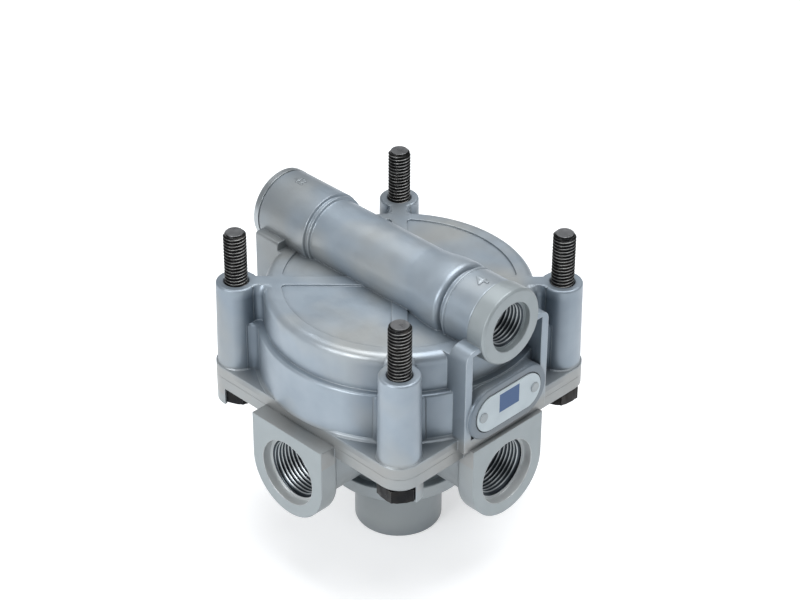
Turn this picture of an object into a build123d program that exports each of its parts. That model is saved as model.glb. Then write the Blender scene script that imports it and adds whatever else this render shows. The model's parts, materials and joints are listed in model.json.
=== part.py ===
from build123d import *
import os
from math import cos, radians, sin, sqrt

os.makedirs("parts", exist_ok=True)

# Relay valve with a cross tube on top. Sizes are in millimetres.
# +Z runs up the valve axis and +X runs along the cross tube to its front port.
# The origin is the centre of the exhaust mouth, on the face that the valve stands on.

# Long hexagon bolts at the four corners. Their square sets the plan of the whole valve.
bolt_pitch = 78.0
bolt_to_drum = 6.65
bolt_r = 4.0
bolt_clearance = 0.15
bolt_reach = 19.2
bolt_shank_r = 3.6
bolt_thread_start = 0.4
bolt_tip_chamfer = 0.9
head_across_flats = 13.0
head_height = 5.9
head_chamfer = 0.7
head_turn = -6.0
head_lug_inner_r = 6.0
head_lug_gap = 0.1
head_lug_arcs = [(0, 48), (90, 150), (90, 150), (180, 276)]

# Heights of the two castings, along the valve axis
seam_z = 62.0
lower_flange_thickness = 5.0
upper_flange_thickness = 4.3
upper_height = 36.4
corner_r = 8.0
flange_edge_chamfer = 0.8

# Drum of the upper casting
drum_step_width = 2.5
drum_step_drop = 13.7
drum_wall = 4.5
drum_top_fillet = 3.0
drum_step_fillet = 1.1
crown_thickness = 5.4
boss_top_r = 7.0
boss_foot_r = 7.5
boss_edge_fillet = 0.8
boss_countersink = 0.4
web_width = 5.3
crown_rim = 6.0
crown_pocket_depth = 0.7
crown_pocket_corner = 1.6

# Cross tube, its height above the crown and its steps along X, from either end
tube_rise = 5.5
tube_r = 12.0
tube_rear_overhang = 1.7
tube_rear_length = 22.3
tube_rear_r = 13.5
tube_groove_depth = 1.0
tube_groove_width = 0.9
tube_bead_r = 13.0
tube_bead_width = 1.1
tube_front_overhang = 1.3
front_head_length = 7.3
front_head_r = 13.6
front_ring_length = 12.0
front_ring_r = 13.1
front_lip_r = 13.3
front_lip_length = 1.2
front_groove_width = 1.8
front_groove_r = 11.6
tube_collar_length = 1.6
tube_collar_round = 2.0
tube_collar_r = 13.5
tube_flare_length = 14.0
head_line_depth = 0.3
tube_edge = 0.3
head_edge_chamfer = 0.7

# Frames that carry the two ends of the cross tube
front_frame_depth = 1.5
front_frame_half = 19.75
front_frame_wall = 3.1
front_frame_corner_r = 4.0
rear_frame_depth = 5.2
rear_frame_half = 16.7
rear_frame_wall = 5.4
rear_frame_corner_r = 1.0
frame_rise = 3.1
frame_shelf = 2.0
frame_root = 5.9

# Control ports, both M16 x 1.5
control_thread_r = 8.0
control_mouth_r = 8.9
control_mouth_depth = 2.2
control_thread_depth = 16.0
control_passage_r = 5.2

# Changeover shuttle inside the cross tube
shuttle_bore_r = 8.5
front_seat_x = 7.4
seat_lip_r = 6.3
seat_lip_height = 0.6
shuttle_travel = 6.0
shuttle_seat_gap = 0.05
shuttle_clearance = 0.1
shuttle_core_r = 4.0
shuttle_flange_r = 6.9
shuttle_flange_thickness = 1.2
shuttle_fin_width = 1.6
shuttle_fin_count = 4
shuttle_seal_r = 6.9
shuttle_seal_thickness = 1.5
control_drop_x = -8.0
control_drop_r = 4.0

# Screwed fitting at the rear end of the cross tube
fitting_flange_r = 13.56
fitting_flange_thickness = 3.1
fitting_relief_r = 12.9
fitting_relief_width = 0.5
fitting_body_r = 10.6
fitting_body_length = 18.3
fitting_clearance = 0.05
fitting_seat_x = -23.4
fitting_ring_section = 0.9
fitting_ring_setback = 2.6

# Identification plate and its seat
plate_proud = 3.0
plate_rise = 7.7
plate_thickness = 0.8
plate_length = 30.8
plate_height = 13.4
plate_gap = 0.25
plate_seat_depth = 0.5
plate_rim = 3.2
rivet_spacing = 24.9
rivet_head_r = 1.8
rivet_head_height = 0.5
rivet_shank_r = 1.2
rivet_depth = 4.0

# Side ports, all M22 x 1.5
port_drop = 16.6
supply_port_proud = 3.1
delivery_port_proud = 4.7
port_pad_half = 16.8
port_pad_thickness = 8.2
port_pad_fillet = 2.2
port_block_half = 13.2
port_mouth_r = 12.1
port_mouth_depth = 3.5
port_thread_r = 11.0
port_thread_depth = 18.0
port_pocket_r = 9.0
port_pocket_depth = 3.5

# Body and exhaust stub of the lower casting
neck_r = 22.8
ledge_r = 25.8
ledge_bottom_z = 24.0
ledge_top_z = 28.9
ledge_fillet = 0.5
stub_r = 15.6
stub_edge_fillet = 0.6
guide_bore_r = 13.0
supply_chamber_r = 19.0
supply_floor_z = 27.0
partition_drop = 2.4
partition_thickness = 4.0
inlet_hole_r = 9.5
inlet_lip_r = 10.7
inlet_lip_height = 0.8
delivery_well_r = 15.0
delivery_floor_depth = 2.0
delivery_floor_rim = 3.5
passage_width = 15.0
passage_height = 8.0
passage_wall = 0.5

# Seal between the two castings
seal_offset = 2.4
seal_section = 1.15
seal_slack = 0.05

# Relay piston
piston_clearance = 0.2
piston_floor_gap = 6.0
piston_head_gap = 2.2
piston_skirt_wall = 3.4
piston_web = 3.6
piston_hub_r = 11.0
piston_rib_count = 8
piston_rib_width = 2.2
piston_rib_height = 12.0
piston_stem_r = 7.5
exhaust_seat_r = 6.1
exhaust_seat_depth = 4.0
piston_ring_section = 1.5
piston_ring_rise = 8.0
piston_ring_gap = 0.05

# Inlet valve, its guide and its spring
valve_gap = 0.05
valve_tube_r = 7.5
valve_tube_bore_r = 5.5
valve_tube_bottom = 9.0
valve_plate_r = 12.2
valve_plate_thickness = 2.2
valve_rim_width = 1.0
valve_rim_height = 1.8
valve_rubber_thickness = 2.95
spring_seat_thickness = 0.8
spring_seat_r = 12.0
spring_wire_r = 0.7
spring_mean_r = 10.3
spring_turns = 5.5
guide_clearance = 0.05
guide_slide_gap = 0.05
guide_top_z = 18.2
guide_collar_height = 3.8
guide_collar_wall = 1.3
outer_ring_section = 1.0
outer_ring_z = 14.0
inner_ring_section = 0.85
inner_ring_z = 10.5
circlip_z = 5.0
circlip_thickness = 1.2
circlip_r = 13.7
circlip_width = 1.9
circlip_groove_depth = 0.8
circlip_gap_angle = 34.0
circlip_ear_r = 2.0
circlip_eye_r = 0.8

# Plan sizes that follow from the bolt square
bolt_half = bolt_pitch / 2
flange_half = bolt_half + corner_r
lower_drum_r = round(bolt_pitch / sqrt(2) - bolt_to_drum, 1)
upper_drum_r = lower_drum_r - drum_step_width
piston_bore_r = upper_drum_r - drum_wall
crown_pocket_r = upper_drum_r - crown_rim
front_frame_x = lower_drum_r + front_frame_depth
rear_frame_x = lower_drum_r + rear_frame_depth
frame_root_x = lower_drum_r - frame_root
plate_x = lower_drum_r + plate_proud
port_face_x = lower_drum_r + supply_port_proud
port_face_y = lower_drum_r + delivery_port_proud
delivery_floor_r = piston_bore_r - delivery_floor_rim
seal_r = piston_bore_r + seal_offset

# Heights that follow from the seam
lower_flange_z = seam_z - lower_flange_thickness
upper_flange_z = seam_z + upper_flange_thickness
crown_z = seam_z + upper_height
drum_step_z = crown_z - drum_step_drop
ceiling_z = crown_z - crown_thickness
tube_z = crown_z + tube_rise
frame_top_z = crown_z + frame_rise
plate_z = upper_flange_z + plate_rise
port_z = seam_z - port_drop
delivery_floor_z = seam_z - delivery_floor_depth
partition_bottom_z = port_z - partition_drop
partition_top_z = partition_bottom_z + partition_thickness
inlet_lip_z = partition_bottom_z - inlet_lip_height
rubber_top_z = inlet_lip_z - valve_gap
plate_top_z = rubber_top_z - valve_rubber_thickness
plate_bottom_z = plate_top_z - valve_plate_thickness
spring_top_z = plate_bottom_z - spring_seat_thickness
guide_bottom_z = circlip_z + circlip_thickness
stem_bottom_z = rubber_top_z + valve_gap
piston_skirt_bottom = seam_z + piston_floor_gap
piston_skirt_top = ceiling_z - piston_head_gap
piston_ring_z = piston_skirt_bottom + piston_ring_rise

# Places along the cross tube
front_face_x = front_frame_x + tube_front_overhang
front_head_start = front_face_x - front_head_length
front_ring_start = front_head_start - front_ring_length
tube_collar_end = front_ring_start - front_groove_width
tube_flare_end = tube_collar_end - tube_collar_round - tube_collar_length
tube_flare_start = tube_flare_end - tube_flare_length
tube_rear_end = -(rear_frame_x + tube_rear_overhang)
tube_rear_shoulder = tube_rear_end + tube_rear_length
fitting_face_x = tube_rear_end - fitting_flange_thickness
fitting_body_end = tube_rear_end + fitting_body_length
shuttle_length = front_seat_x - fitting_seat_x - shuttle_travel - 2 * shuttle_seat_gap
shuttle_start = fitting_seat_x + shuttle_seat_gap

BOTTOM = (Align.CENTER, Align.CENTER, Align.MIN)


def upright(radius, low, high):
    """A cylinder on the valve axis."""
    return Pos(0, 0, low) * Cylinder(radius, high - low, align=BOTTOM)


def along_x(radius, start, end, y=0.0, z=0.0):
    """A cylinder that runs along X."""
    return Pos(start, y, z) * Rot(0, 90, 0) * Cylinder(radius, end - start, align=BOTTOM)


def polar(radius, angle):
    """A point at an angle in degrees."""
    return (radius * cos(radians(angle)), radius * sin(radians(angle)))


def block(x0, x1, y0, y1, z0, z1):
    """A box given by its limits."""
    return Pos(x0, y0, z0) * Box(x1 - x0, y1 - y0, z1 - z0, align=(Align.MIN,) * 3)


def at_corners(piece):
    """Four copies of a piece, one on each bolt axis, turned with the corner."""
    corner = Pos(bolt_half, -bolt_half, 0) * piece
    return [Rot(0, 0, 90 * turn) * corner for turn in range(4)]


def ring(major, section, z):
    """An O-ring on the valve axis."""
    return Pos(0, 0, z) * Torus(major, section)


def ring_groove(inner, outer, low, high):
    """The space of a square groove about the valve axis."""
    return upright(outer, low, high) - upright(inner, low - 1, high + 1)


def flange(low, high):
    """The square plate with rounded corners that both castings share."""
    outline = RectangleRounded(2 * flange_half, 2 * flange_half, corner_r)
    return Pos(0, 0, low) * extrude(outline, high - low)


def head_hexagon(gap):
    """The six flats of a bolt head, standing on the ground, a gap wider all round."""
    hexagon = RegularPolygon(head_across_flats / 2 + gap, 6, major_radius=False, rotation=head_turn)
    return extrude(hexagon, head_height)


def mounting_bolts():
    """Four hexagon bolts, head down, with a slim shank and the thread above the bosses."""
    tip_z = crown_z + bolt_reach
    thread_z = crown_z + bolt_thread_start
    head_bottom = lower_flange_z - head_height
    thread = upright(bolt_r, thread_z, tip_z)
    thread = chamfer(thread.edges().group_by(Axis.Z)[-1], bolt_tip_chamfer)
    shank = thread + upright(bolt_shank_r, lower_flange_z - 1, thread_z + 1)
    head = Pos(0, 0, head_bottom) * head_hexagon(0)
    bevel = head_across_flats / 2 + head_chamfer
    cone = Pos(0, 0, head_bottom) * Cone(
        bevel - head_chamfer, bevel + head_height - head_chamfer, head_height, align=BOTTOM
    )
    return Compound(children=at_corners((head & cone) + shank))


def drum():
    """The stepped round body that holds the relay piston."""
    lower = upright(lower_drum_r, upper_flange_z - 0.3, drum_step_z)
    lower = fillet(lower.edges().group_by(Axis.Z)[-1], drum_step_fillet)
    upper = upright(upper_drum_r, seam_z, crown_z)
    upper = fillet(upper.edges().group_by(Axis.Z)[-1], drum_top_fillet)
    return lower + upper


def boss():
    """A tapered corner boss with its softened top edge."""
    foot = seam_z + 1
    post = Pos(0, 0, foot) * Cone(boss_foot_r, boss_top_r, crown_z - foot, align=BOTTOM)
    return fillet(post.edges().group_by(Axis.Z)[-1], boss_edge_fillet)


def web():
    """The wall between a corner boss and the drum, along +X."""
    reach = sqrt(2) * bolt_half
    inside = upper_drum_r - 2 * drum_top_fillet
    return block(inside, reach, -web_width / 2, web_width / 2, upper_flange_z - 0.5, crown_z)


def crown_pockets():
    """Shallow fields in the crown, between the diagonal ribs."""
    cross = Rot(0, 0, 45) * Rectangle(3 * crown_pocket_r, web_width)
    cross += Rot(0, 0, -45) * Rectangle(3 * crown_pocket_r, web_width)
    field = Circle(crown_pocket_r) - cross
    field = fillet(field.vertices(), crown_pocket_corner)
    return Pos(0, 0, crown_z - crown_pocket_depth) * extrude(field, 5)


def tube_profile():
    """Half outline of the cross tube before and behind its flare: lists of X and radius."""
    groove_end = tube_rear_shoulder + tube_groove_width
    bead_end = groove_end + tube_bead_width
    groove_r = tube_rear_r - tube_groove_depth
    lip_end = front_ring_start + front_lip_length
    rear = [
        (tube_rear_end, tube_rear_r),
        (tube_rear_shoulder - tube_edge, tube_rear_r),
        (tube_rear_shoulder, groove_r),
        (groove_end, groove_r),
        (groove_end + tube_edge, tube_bead_r),
        (bead_end - tube_edge, tube_bead_r),
        (bead_end, tube_r),
        (tube_flare_start, tube_r),
    ]
    front = [
        (tube_collar_end, front_groove_r),
        (front_ring_start, front_groove_r),
        (front_ring_start, front_lip_r - tube_edge),
        (front_ring_start + tube_edge, front_lip_r),
        (lip_end - tube_edge, front_lip_r),
        (lip_end, front_ring_r - tube_edge),
        (lip_end + tube_edge, front_ring_r),
        (front_head_start - head_line_depth, front_ring_r),
        (front_head_start, front_ring_r - head_line_depth),
        (front_head_start + head_line_depth, front_head_r),
        (front_face_x - head_edge_chamfer, front_head_r),
        (front_face_x, front_head_r - head_edge_chamfer),
    ]
    return rear, front


def cross_tube():
    """The outside of the cross tube, turned about its own axis."""
    rear, front = tube_profile()
    round_start = tube_collar_end - tube_collar_round
    outline = Polyline((front_face_x, 0), (tube_rear_end, 0), *rear)
    outline += Spline(rear[-1], (tube_flare_end, tube_collar_r), tangents=[(1, 0), (1, 0)])
    outline += Line((tube_flare_end, tube_collar_r), (round_start, tube_collar_r))
    outline += Spline((round_start, tube_collar_r), front[0], tangents=[(1, 0), (0.3, -1)])
    outline += Polyline(*front, (front_face_x, 0))
    half = make_face(outline.edges())
    return Pos(0, 0, tube_z) * revolve(Plane.XZ * half, Axis.X)


def end_frame(plane_x, half, wall, corner):
    """The pocketed upright that carries one end of the tube, facing +X."""
    body = block(frame_root_x - 8, plane_x, -half, half, seam_z, frame_top_z)
    top = body.edges().filter_by(Axis.X).group_by(Axis.Z)[-1]
    body = fillet(top, corner)
    inner = half - wall
    hollow = block(0, plane_x + 1, -inner, inner, upper_flange_z, frame_top_z - frame_shelf)
    hollow -= upright(lower_drum_r, 0, drum_step_z) + upright(upper_drum_r, 0, 2 * crown_z)
    return body - hollow


def end_frame_trim(plane_x, half):
    """What the shelf of an end frame leaves clear above the crown."""
    return block(0, frame_root_x, -half, half, crown_z, frame_top_z + 1)


def plate_outline(length, height, x0, x1):
    """A bar with round ends that faces +X, centred on the plate."""
    bar = SlotOverall(length, height)
    standing = Plane(origin=(x0, 0, plate_z), x_dir=(0, 1, 0), z_dir=(1, 0, 0)) * bar
    return extrude(standing, x1 - x0)


def rivet_places():
    """Centres of the two rivets, across the plate."""
    return [-rivet_spacing / 2, rivet_spacing / 2]


def plate_seat():
    """The raised rim that the identification plate lies in."""
    front = plate_x - plate_thickness + plate_seat_depth
    rim = plate_outline(
        plate_length + 2 * plate_rim, plate_height + 2 * plate_rim, upper_drum_r - 3, front
    )
    edge = rim.edges().group_by(Axis.X)[-1]
    return fillet(edge, 0.8)


def plate_recess():
    """The space cut out of the rim for the plate and its rivets."""
    back = plate_x - plate_thickness
    space = plate_outline(
        plate_length + 2 * plate_gap, plate_height + 2 * plate_gap, back, plate_x + 1
    )
    for y in rivet_places():
        space += along_x(rivet_shank_r + plate_gap / 5, back - rivet_depth, back + 1, y, plate_z)
    return space


def identification_plate():
    """A bare plate with round ends, held by two rivets."""
    plate = plate_outline(plate_length, plate_height, plate_x - plate_thickness, plate_x)
    for y in rivet_places():
        plate -= along_x(rivet_shank_r + plate_gap / 5, plate_x - 2, plate_x + 1, y, plate_z)
    return plate


def plate_rivets():
    """Two low-headed drive rivets."""
    rivets = []
    shank_end = plate_x - plate_thickness - rivet_depth + 0.2
    for y in rivet_places():
        head = along_x(rivet_head_r, plate_x, plate_x + rivet_head_height, y, plate_z)
        head = fillet(head.edges().group_by(Axis.X)[-1], 0.3)
        rivets.append(head + along_x(rivet_shank_r, shank_end, plate_x + 0.1, y, plate_z))
    return Compound(children=rivets)


def front_control_bore():
    """The threaded front port and the passage to the front shuttle seat."""
    thread_end = front_face_x - control_thread_depth
    cut = along_x(control_thread_r, thread_end, front_face_x + 1, 0, tube_z)
    cut += along_x(control_mouth_r, front_face_x - control_mouth_depth, front_face_x + 1, 0, tube_z)
    return cut + along_x(control_passage_r, 0, thread_end + 1, 0, tube_z)


def shuttle_bore():
    """The shuttle chamber, the fitting's bore and the drop to the piston."""
    lip_back = front_seat_x + seat_lip_height
    chamber = along_x(shuttle_bore_r, tube_rear_end - 1, lip_back, 0, tube_z)
    lip = along_x(seat_lip_r, front_seat_x, lip_back + 1, 0, tube_z)
    socket_r = fitting_body_r + fitting_clearance
    socket = along_x(socket_r, tube_rear_end - 1, fitting_body_end + 0.1, 0, tube_z)
    drop = Pos(control_drop_x, 0, ceiling_z - 1) * Cylinder(
        control_drop_r, tube_z - ceiling_z + 1, align=BOTTOM
    )
    return (chamber - lip) + socket + drop


def upper_housing():
    """The upper casting: drum, flange, bosses, end frames and cross tube."""
    casting = flange(seam_z, upper_flange_z) + at_corners(boss())
    for turn in range(4):
        casting += Rot(0, 0, 45 + 90 * turn) * web()
    casting += drum()
    front = end_frame(front_frame_x, front_frame_half, front_frame_wall, front_frame_corner_r)
    front -= end_frame_trim(front_frame_x, front_frame_half + 1)
    rear = end_frame(rear_frame_x, rear_frame_half, rear_frame_wall, rear_frame_corner_r)
    rear -= end_frame_trim(rear_frame_x, rear_frame_half + 1)
    casting += front + Rot(0, 0, 180) * rear
    casting -= crown_pockets()
    casting += plate_seat()
    casting += cross_tube()
    casting -= upright(piston_bore_r, 0, ceiling_z)
    hole = upright(bolt_r + bolt_clearance, 0, crown_z + 1)
    sink = Pos(0, 0, crown_z - boss_countersink) * Cone(
        bolt_r + bolt_clearance,
        bolt_r + bolt_clearance + 2 * boss_countersink,
        2 * boss_countersink,
        align=BOTTOM,
    )
    casting -= at_corners(hole + sink)
    casting -= plate_recess()
    casting -= front_control_bore()
    return casting - shuttle_bore()


def port_body(face):
    """One side port, its pad and the block behind it, facing +X."""
    def shield(half, top):
        height = top - port_z
        outline = Circle(half) + Pos(0, height / 2) * Rectangle(2 * half, height)
        outline -= Pos(0, height + half) * Rectangle(4 * half, 2 * half)
        return Plane(origin=(0, 0, port_z), x_dir=(0, 1, 0), z_dir=(1, 0, 0)) * outline

    back = face - port_pad_thickness
    pad = Pos(back, 0, 0) * extrude(shield(port_pad_half, seam_z), port_pad_thickness)
    rear_edges = [
        e for e in pad.edges().group_by(Axis.X)[0] if e.center().Z < seam_z - 0.1
    ]
    pad = fillet(rear_edges, port_pad_fillet)
    return pad + extrude(shield(port_block_half, lower_flange_z + 1), back + 1)


def port_bore(face):
    """The space of one side port: mouth, thread and the pocket behind it."""
    thread_end = face - port_thread_depth
    cut = along_x(port_thread_r, thread_end, face + 1, 0, port_z)
    cut += along_x(port_mouth_r, face - port_mouth_depth, face + 1, 0, port_z)
    return cut + along_x(port_pocket_r, thread_end - port_pocket_depth, thread_end + 1, 0, port_z)


def port_passage(face, start, low):
    """The cast passage from a port's pocket to the chamber it serves."""
    end = face - port_thread_depth - 0.5
    half = passage_width / 2
    duct = block(start, end, -half, half, low, low + passage_height)
    return fillet(duct.edges().filter_by(Axis.X), 2.0)


def head_lugs():
    """Curved walls under the corners that keep the bolt heads from turning."""
    lugs = []
    height = head_height + 1
    room = head_hexagon(head_lug_gap)
    for turn, (start, end) in enumerate(head_lug_arcs):
        wall = ring_groove(head_lug_inner_r, corner_r, 0, height)
        sector = Polygon(
            (0, 0), *[polar(2 * corner_r, start + (end - start) * step / 3) for step in range(4)],
            align=None,
        )
        wall &= extrude(sector, height)
        wall -= Rot(0, 0, 90 * turn) * room
        x, y = polar(sqrt(2) * bolt_half, 90 * turn - 45)
        lugs.append(Pos(x, y, lower_flange_z - head_height) * wall)
    return lugs


def lower_housing():
    """The lower casting: flange, four ports, chambers and the exhaust stub."""
    plate = flange(lower_flange_z, seam_z)
    plate = chamfer(plate.edges().group_by(Axis.Z)[0], flange_edge_chamfer)
    ledge = upright(ledge_r, ledge_bottom_z, ledge_top_z)
    ledge = fillet(ledge.edges().group_by(Axis.Z)[-1], ledge_fillet)
    stub = upright(stub_r, 0, ledge_bottom_z + 1)
    stub = fillet(stub.edges().group_by(Axis.Z)[0], stub_edge_fillet)
    casting = plate + ledge + stub + upright(neck_r, ledge_top_z - 1, lower_flange_z + 1)
    supply = [(0, port_face_x), (180, port_face_x)]
    delivery = [(90, port_face_y), (270, port_face_y)]
    for angle, face in supply + delivery:
        casting += Rot(0, 0, angle) * port_body(face)
    casting += head_lugs()
    casting -= at_corners(upright(bolt_r + bolt_clearance, 0, crown_z))
    casting -= upright(guide_bore_r, -1, supply_floor_z + 1)
    casting -= upright(supply_chamber_r, supply_floor_z, partition_bottom_z)
    lip = ring_groove(inlet_hole_r, inlet_lip_r, inlet_lip_z, partition_bottom_z + 1)
    casting += lip
    casting -= upright(inlet_hole_r, partition_bottom_z - 2, partition_top_z + 1)
    casting -= upright(delivery_well_r, partition_top_z, seam_z + 1)
    casting -= upright(delivery_floor_r, delivery_floor_z, seam_z + 1)
    supply_low = partition_bottom_z - passage_wall - passage_height
    delivery_low = partition_top_z + passage_wall
    for angle, face in supply:
        casting -= Rot(0, 0, angle) * port_bore(face)
        casting -= Rot(0, 0, angle) * port_passage(face, inlet_lip_r + 2, supply_low)
    for angle, face in delivery:
        casting -= Rot(0, 0, angle) * port_bore(face)
        casting -= Rot(0, 0, angle) * port_passage(face, inlet_lip_r + 2, delivery_low)
    groove_floor = seam_z - 2 * seal_section - seal_slack
    casting -= ring_groove(
        seal_r - seal_section - seal_slack, seal_r + seal_section + seal_slack,
        groove_floor, seam_z + 1,
    )
    slot = seal_slack
    casting -= ring_groove(
        guide_bore_r - 1, guide_bore_r + circlip_groove_depth,
        circlip_z - slot, circlip_z + circlip_thickness + slot,
    )
    return casting


def housing_o_ring():
    """The seal between the two castings, lying in the lower one's groove."""
    return ring(seal_r, seal_section, seam_z - seal_section - seal_slack / 2)


def rear_port_fitting():
    """The screwed rear end of the cross tube, with the rear shuttle seat on its nose."""
    nose_r = shuttle_bore_r - fitting_clearance
    nose_end = fitting_seat_x - seat_lip_height
    flange_disc = along_x(fitting_flange_r, fitting_face_x, tube_rear_end, 0, tube_z)
    flange_disc = chamfer(flange_disc.edges().group_by(Axis.X)[0], 0.5)
    relief_start = tube_rear_end - fitting_relief_width
    relief = along_x(fitting_flange_r + 1, relief_start, tube_rear_end, 0, tube_z)
    flange_disc -= relief - along_x(fitting_relief_r, relief_start - 1, tube_rear_end + 1, 0, tube_z)
    body = along_x(fitting_body_r, tube_rear_end - 1, fitting_body_end, 0, tube_z)
    nose = along_x(nose_r, fitting_body_end - 1, nose_end, 0, tube_z)
    lip = along_x(seat_lip_r, nose_end - 1, fitting_seat_x, 0, tube_z)
    fitting = flange_disc + body + nose + lip
    thread_end = fitting_face_x + control_thread_depth
    fitting -= along_x(control_thread_r, fitting_face_x - 1, thread_end, 0, tube_z)
    mouth_end = fitting_face_x + control_mouth_depth
    fitting -= along_x(control_mouth_r, fitting_face_x - 1, mouth_end, 0, tube_z)
    fitting -= along_x(control_passage_r, thread_end - 1, fitting_seat_x + 1, 0, tube_z)
    half = fitting_ring_section + fitting_clearance
    centre = fitting_body_end - fitting_ring_setback
    floor = fitting_body_r - 2 * fitting_ring_section - fitting_clearance
    groove = along_x(fitting_body_r + 1, centre - half, centre + half, 0, tube_z)
    return fitting - (groove - along_x(floor, centre - 2, centre + 2, 0, tube_z))


def rear_fitting_o_ring():
    """The seal of the rear fitting, in the groove near its inner end."""
    major = fitting_body_r - fitting_ring_section
    centre = fitting_body_end - fitting_ring_setback
    return Pos(centre, 0, tube_z) * Rot(0, 90, 0) * Torus(major, fitting_ring_section)


def shuttle_piston():
    """The shuttle: a core with guide fins and a flange at each end."""
    first = shuttle_start + shuttle_seal_thickness
    last = shuttle_start + shuttle_length - shuttle_seal_thickness
    core = along_x(shuttle_core_r, first, last, 0, tube_z)
    core += along_x(shuttle_flange_r, first, first + shuttle_flange_thickness, 0, tube_z)
    core += along_x(shuttle_flange_r, last - shuttle_flange_thickness, last, 0, tube_z)
    fin_r = shuttle_bore_r - shuttle_clearance
    fins = along_x(fin_r, first, last, 0, tube_z)
    keep = None
    for index in range(shuttle_fin_count):
        angle = 360 / shuttle_fin_count * index + 45
        slab = block(first, last, -shuttle_fin_width / 2, shuttle_fin_width / 2, 0, 2 * fin_r)
        slab = Pos(0, 0, tube_z) * Rot(angle, 0, 0) * slab
        keep = slab if keep is None else keep + slab
    return core + (fins & keep)


def shuttle_seals():
    """A rubber disc on each end of the shuttle."""
    end = shuttle_start + shuttle_length
    return Compound(children=[
        along_x(shuttle_seal_r, shuttle_start, shuttle_start + shuttle_seal_thickness, 0, tube_z),
        along_x(shuttle_seal_r, end - shuttle_seal_thickness, end, 0, tube_z),
    ])


def relay_piston():
    """The cup-shaped relay piston: skirt, web, ribs and stem with the exhaust seat."""
    outer = piston_bore_r - piston_clearance
    inner = outer - piston_skirt_wall
    web_top = piston_skirt_bottom + piston_web
    piston = upright(outer, piston_skirt_bottom, piston_skirt_top)
    piston -= upright(inner, web_top, piston_skirt_top + 1)
    rib_top = web_top + piston_rib_height
    for index in range(piston_rib_count):
        rib = block(0, inner + 0.5, -piston_rib_width / 2, piston_rib_width / 2, web_top - 1, rib_top)
        piston += Rot(0, 0, 360 / piston_rib_count * (index + 0.5)) * rib
    piston += upright(piston_hub_r, web_top - 1, rib_top)
    piston += upright(piston_stem_r, stem_bottom_z, web_top)
    piston -= upright(exhaust_seat_r, stem_bottom_z - 1, stem_bottom_z + exhaust_seat_depth)
    half = piston_ring_section + piston_ring_gap
    floor = piston_ring_major() - piston_ring_section - piston_ring_gap
    return piston - ring_groove(floor, outer + 1, piston_ring_z - half, piston_ring_z + half)


def piston_ring_major():
    """Radius of the piston ring's centre line, just clear of the bore."""
    return piston_bore_r - piston_ring_gap - piston_ring_section


def piston_o_ring():
    """The sliding seal of the relay piston."""
    return ring(piston_ring_major(), piston_ring_section, piston_ring_z)


def inlet_valve_body():
    """The hollow inlet valve: a plate with a rim, and the tube that vents to the stub."""
    body = upright(valve_plate_r, plate_bottom_z, plate_top_z + valve_rim_height)
    body -= upright(valve_plate_r - valve_rim_width, plate_top_z, rubber_top_z)
    body += upright(valve_tube_r, valve_tube_bottom, plate_top_z)
    return body - upright(valve_tube_bore_r, valve_tube_bottom - 1, rubber_top_z)


def inlet_valve_rubber():
    """The rubber face that closes on the inlet lip and on the piston's exhaust seat."""
    outer = valve_plate_r - valve_rim_width - valve_gap
    face = upright(outer, plate_top_z, rubber_top_z)
    return face - upright(valve_tube_bore_r, plate_top_z - 1, rubber_top_z + 1)


def spring_seat():
    """The steel washer between the spring and the inlet valve's plate."""
    washer = upright(spring_seat_r, spring_top_z, plate_bottom_z)
    return washer - upright(valve_tube_r + guide_slide_gap, spring_top_z - 1, plate_bottom_z + 1)


def valve_spring():
    """The spring that closes the inlet valve, from the guide up to its washer."""
    low = guide_top_z + spring_wire_r
    height = spring_top_z - spring_wire_r - low
    path = Pos(0, 0, low) * Helix(height / spring_turns, height, spring_mean_r)
    section = Plane(origin=path @ 0, z_dir=path % 0) * Circle(spring_wire_r)
    return sweep(section, path=path)


def valve_guide():
    """The insert in the stub that guides the inlet valve's tube and seats its spring."""
    outer = guide_bore_r - guide_clearance
    bore = valve_tube_r + guide_slide_gap
    guide = upright(outer, guide_bottom_z, guide_top_z)
    guide += upright(bore + guide_collar_wall, guide_top_z - 1, guide_top_z + guide_collar_height)
    guide -= upright(bore, guide_bottom_z - 1, guide_top_z + guide_collar_height + 1)
    half = outer_ring_section + guide_clearance
    floor = guide_bore_r - 2 * outer_ring_section - guide_clearance
    guide -= ring_groove(floor, outer + 1, outer_ring_z - half, outer_ring_z + half)
    half = inner_ring_section + guide_clearance
    wall = bore + 2 * inner_ring_section + guide_clearance
    return guide - ring_groove(bore - 1, wall, inner_ring_z - half, inner_ring_z + half)


def guide_outer_o_ring():
    """The seal between the guide and the stub."""
    return ring(guide_bore_r - outer_ring_section - guide_clearance / 2, outer_ring_section, outer_ring_z)


def guide_inner_o_ring():
    """The seal between the guide and the sliding valve tube."""
    return ring(valve_tube_r + guide_slide_gap + inner_ring_section, inner_ring_section, inner_ring_z)


def guide_circlip():
    """The internal circlip that holds the guide in the stub."""
    inner = circlip_r - circlip_width
    clip = ring_groove(inner, circlip_r, circlip_z, circlip_z + circlip_thickness)
    spread = radians(circlip_gap_angle / 2)
    half_gap = circlip_r * sin(spread)
    clip -= block(0, 2 * circlip_r, -half_gap, half_gap, circlip_z - 1, circlip_z + 3)
    ear_x = inner * cos(spread) - circlip_ear_r / 3
    for side in (-1, 1):
        place = Pos(ear_x, side * (half_gap + circlip_ear_r / 2), circlip_z)
        clip += place * Cylinder(circlip_ear_r, circlip_thickness, align=BOTTOM)
        clip -= place * Cylinder(circlip_eye_r, 3 * circlip_thickness)
    return clip


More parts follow.
